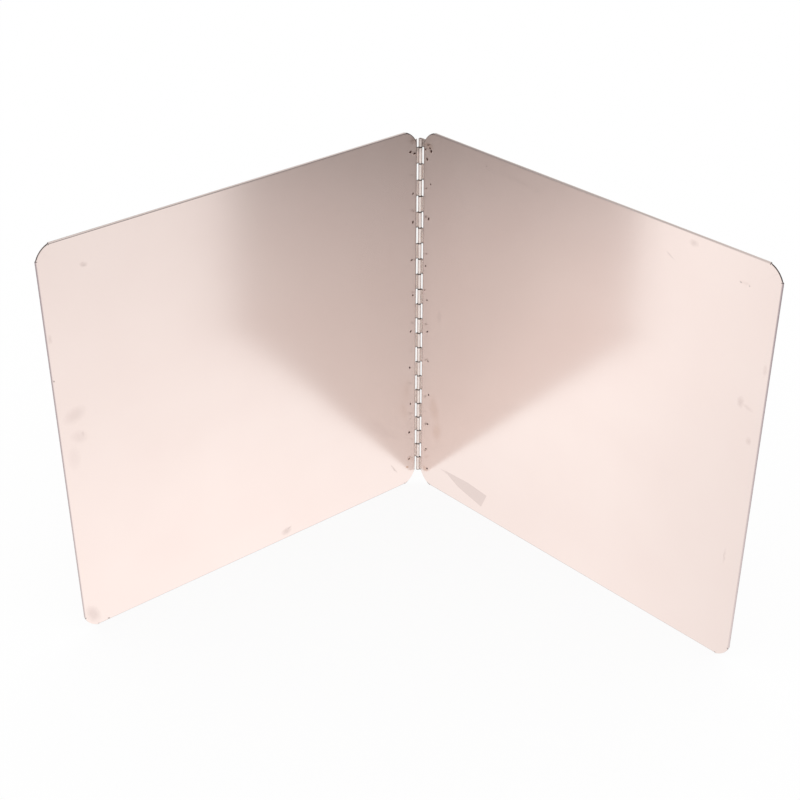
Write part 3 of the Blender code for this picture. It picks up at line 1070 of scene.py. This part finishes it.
front = shade(blend(room, to_left, right_side, left_of_fold), by_heading(
    (-180, 1.00), (-92, 1.00), (-86, 1.02), (-82, 1.08), (-79, 1.06), (-76, 0.985), (-73, 0.90), (-50, 0.90),
    (-20, 0.96), (10, 1.00), (60, 0.93), (67, 0.95), (71, 0.97), (74, 1.00), (77, 0.99),
    (81, 0.96), (180, 0.97),
))
behind_wings = by_height(
    (-40, (0.4675, 0.4675, 0.473)), (-33, (0.33, 0.33, 0.3355)), (-27, (0.22, 0.2145, 0.22)),
    (-22, (0.143, 0.1375, 0.143)), (-5, (0.099, 0.0935, 0.099)), (10, (0.165, 0.165, 0.1705)),
    (25, (0.3575, 0.3575, 0.363)), (40, 0.5225),
)
far_behind = by_height(
    (-40, 0.88), (-25, 0.76), (-15, 0.68), (-5, 0.60), (10, 0.48), (25, 0.52), (40, 0.85),
)
to_far = by_heading((-180, 1), (-135, 1), (-122, 0), (122, 0), (135, 1), (180, 1))
behind = blend(room, to_far, behind_wings, far_behind)
to_behind = by_heading((-180, 1), (-104, 1), (-92, 0), (90, 0), (102, 1), (180, 1))
to_upper = by_height((-18, 0), (5, 1), (50, 1), (70, 0))
upper = by_heading(
    (-180, 0.75), (-115, 0.55), (-92, 0.42), (-84, 0.65), (-74, 0.90), (-60, 1.00), (60, 1.00), (72, 0.90),
    (80, 0.55), (90, 0.45), (120, 0.95), (180, 0.95),
)
once = shade(blend(room, to_behind, front, behind), blend(room, to_upper, (1, 1, 1, 1), upper))
twice_by_height = by_height(
    (-36, (0.80, 0.84, 0.86)), (-34.5, (0.77, 0.815, 0.83)), (-33, (0.725, 0.765, 0.78)),
    (-31.5, (0.68, 0.72, 0.735)), (-30, (0.64, 0.68, 0.70)), (-26.5, (0.57, 0.61, 0.63)),
    (-24.5, (0.49, 0.53, 0.555)), (-23.3, (0.42, 0.46, 0.48)), (-22, (0.32, 0.35, 0.36)),
    (-12, (0.15, 0.16, 0.17)), (5, (0.10, 0.10, 0.11)), (20, (0.26, 0.27, 0.28)), (40, 0.80),
)
twice_by_heading = by_heading(
    (-180, 0.85), (-65, 0.85), (-45, 1.20), (-20, 1.05), (-16, 1.05), (-14, 0.87), (-12, 0.69), (-10, 0.595),
    (-8, 0.54), (0, 0.54), (13.7, 0.565), (17, 0.59), (20.5, 0.68), (24, 0.85), (36, 1.30), (45, 1.30),
    (65, 0.85), (180, 0.85),
)
twice_level = 1.5625
twice = scaled(room, shade(twice_by_height, twice_by_heading), twice_level)
crevice = by_height(
    (-40, (1.45, 1.47, 1.50)), (-30, (1.30, 1.32, 1.35)), (-22, (1.00, 1.02, 1.05)), (5, (0.40, 0.40, 0.42)),
    (40, 0.90),
)
deep = value_step(room, "GREATER_THAN", ray["Glossy Depth"], 1.5)
deeper = value_step(room, "GREATER_THAN", ray["Glossy Depth"], 2.5)
mirrored = blend(room, deeper, blend(room, deep, once, twice), crevice)
surrounding = add(room, "ShaderNodeBackground", {
    "Color": blend(room, ray["Is Glossy Ray"], (1, 1, 1, 1), mirrored), "Strength": 1,
})
add(room, "ShaderNodeOutputWorld", {"Surface": surrounding.outputs["Background"]})

# Camera
# Hand height in front of the fold, looking down into it. Place, turn and lens were fitted to the
# photograph's straight edges and knuckle joints, and the small shift gives its framing.
lens = bpy.data.cameras.new("camera")
lens.sensor_width = 36
lens.lens = 69.289
lens.shift_x = 0.04612
lens.shift_y = 0.02020
lens.clip_start = 0.01
camera = bpy.data.objects.new("camera", lens)
camera_place = (0.0528, -0.9328, 0.7156)
yaw = math.radians(-5.3458)
pitch = math.radians(32.3053)
roll = math.radians(-0.8173)
forward = Vector((math.sin(yaw) * math.cos(pitch), math.cos(yaw) * math.cos(pitch), -math.sin(pitch)))
level_right = Vector((math.cos(yaw), -math.sin(yaw), 0))
level_up = level_right.cross(forward)
right = level_right * math.cos(roll) + level_up * math.sin(roll)
up = -level_right * math.sin(roll) + level_up * math.cos(roll)
stance = Matrix((right, up, -forward)).transposed().to_4x4()
camera.matrix_world = Matrix.Translation(camera_place) @ stance
bpy.context.scene.collection.objects.link(camera)
bpy.context.scene.camera = camera

bpy.context.scene.view_settings.view_transform = "Standard"
